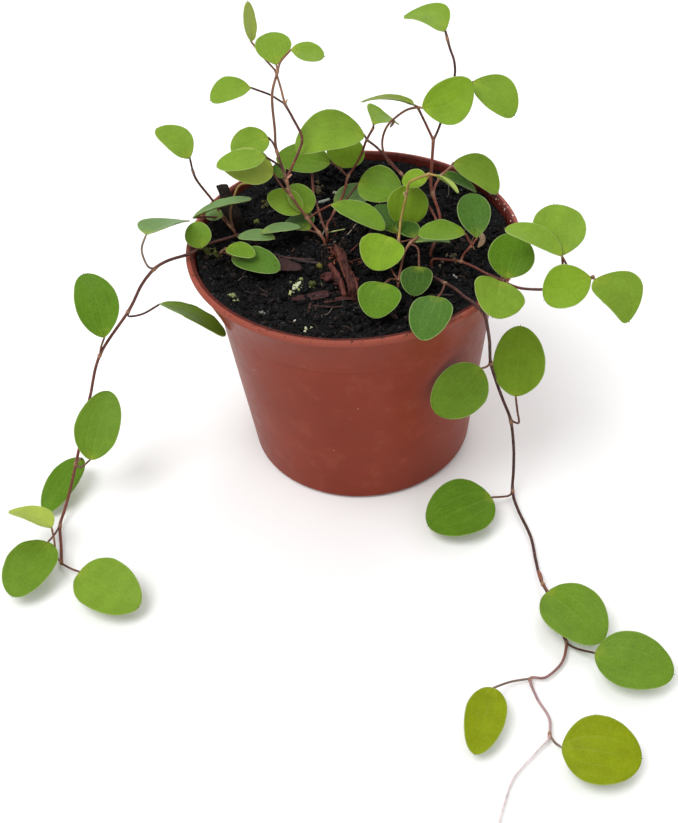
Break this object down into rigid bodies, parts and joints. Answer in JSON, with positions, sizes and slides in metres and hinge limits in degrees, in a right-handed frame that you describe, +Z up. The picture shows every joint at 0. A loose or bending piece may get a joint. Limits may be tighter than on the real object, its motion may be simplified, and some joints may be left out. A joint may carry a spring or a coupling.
{
  "type": "potted wire vine",
  "caption": "Trailing vine with small round leaves on thin wiry stems, rooted in dark soil in a small tapered pot with a flared collar and rounded lip.",
  "frame": {"origin": "centre of the pot's flat underside", "axes": "+Z up, -Y towards the front of the plant where the long shoot trails, +X to the right"},
  "size_m": [0.1734, 0.1871, 0.1224],
  "materials": {
    "pot_plastic": "terracotta-coloured thin plastic, satin",
    "potting_soil": null,
    "bark": "rough dark bark, matte",
    "old_root": "reddish brown root, matte",
    "dry_leaf": "withered purple-brown leaf",
    "living_leaf": "fresh green leaf with a soft sheen on brown stems"
  },
  "bodies": {
    "root": {"pot": "pot_plastic", "soil": "potting_soil", "bark_chip": "bark", "root_crown": "old_root", "dead_leaf": "dry_leaf", "stem_crown_left": "living_leaf", "stem_left_up": "living_leaf", "stem_low_left": "living_leaf", "stem_soil_left": "living_leaf", "stem_left_trail": "living_leaf", "stem_centre_back": "living_leaf", "stem_back_right": "living_leaf", "stem_yellow": "living_leaf", "stem_centre": "living_leaf", "stem_right_side": "living_leaf", "stem_right_trail": "living_leaf"}
  },
  "joints": []
}
